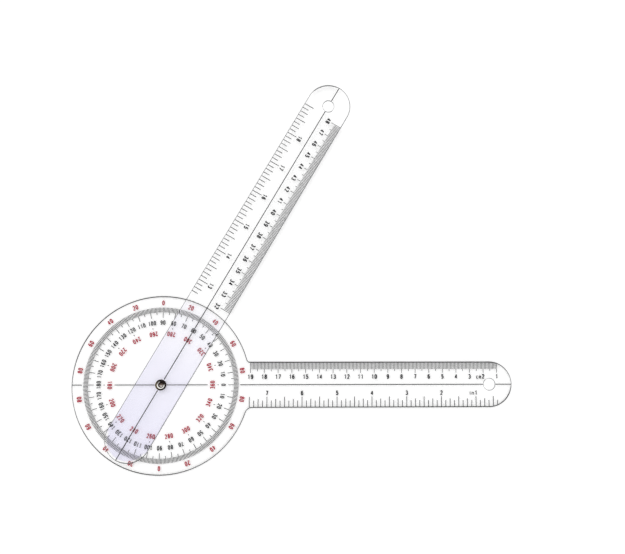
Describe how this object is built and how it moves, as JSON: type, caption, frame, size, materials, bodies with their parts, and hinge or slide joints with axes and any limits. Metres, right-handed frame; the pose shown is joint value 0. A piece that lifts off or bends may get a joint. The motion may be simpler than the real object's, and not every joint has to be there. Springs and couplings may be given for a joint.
{
  "type": "angle finder with arms",
  "caption": "Flat clear goniometer: a full-circle protractor disc with a fixed ruler arm, and a second ruler arm that turns on a rivet at the disc's centre.",
  "frame": {"origin": "on the pivot's axis, in the plane of the plate's flat back face", "axes": "+X from the pivot along the fixed arm, +Z along the pivot out of the printed front, +Y in the plane of the plate, a quarter turn anticlockwise from +X seen from the front"},
  "size_m": [0.319, 0.287, 0.0057],
  "materials": {
    "clear_plastic": "gloss, see-through",
    "black_ink": "satin printed ink",
    "red_ink": "satin printed ink",
    "nickel": "polished nickel plate",
    "nylon": "matt, natural"
  },
  "bodies": {
    "protractor": {"protractor_plate": "clear_plastic", "pivot_rivet": "nickel", "spacer_washer": "nylon", "degree_marks": "black_ink", "degree_numbers": "black_ink", "reflex_dashes": "black_ink", "reflex_numbers": "red_ink", "quadrant_numbers": "red_ink", "dial_base_line": "black_ink", "fixed_arm_line": "black_ink", "fixed_cm_marks": "black_ink", "fixed_cm_numbers": "black_ink", "fixed_inch_marks": "black_ink", "fixed_inch_numbers": "black_ink", "fixed_unit_marks": "black_ink"},
    "arm": {"moving_arm": "clear_plastic", "moving_arm_line": "black_ink", "moving_cm_marks": "black_ink", "moving_cm_numbers": "black_ink", "moving_inch_marks": "black_ink", "moving_inch_numbers": "black_ink"}
  },
  "joints": [
    {"name": "arm_pivot", "type": "hinge", "parent": "protractor", "child": "arm", "pos_m": [0, 0, 0], "axis": [0, 0, 1], "continuous": true}
  ]
}
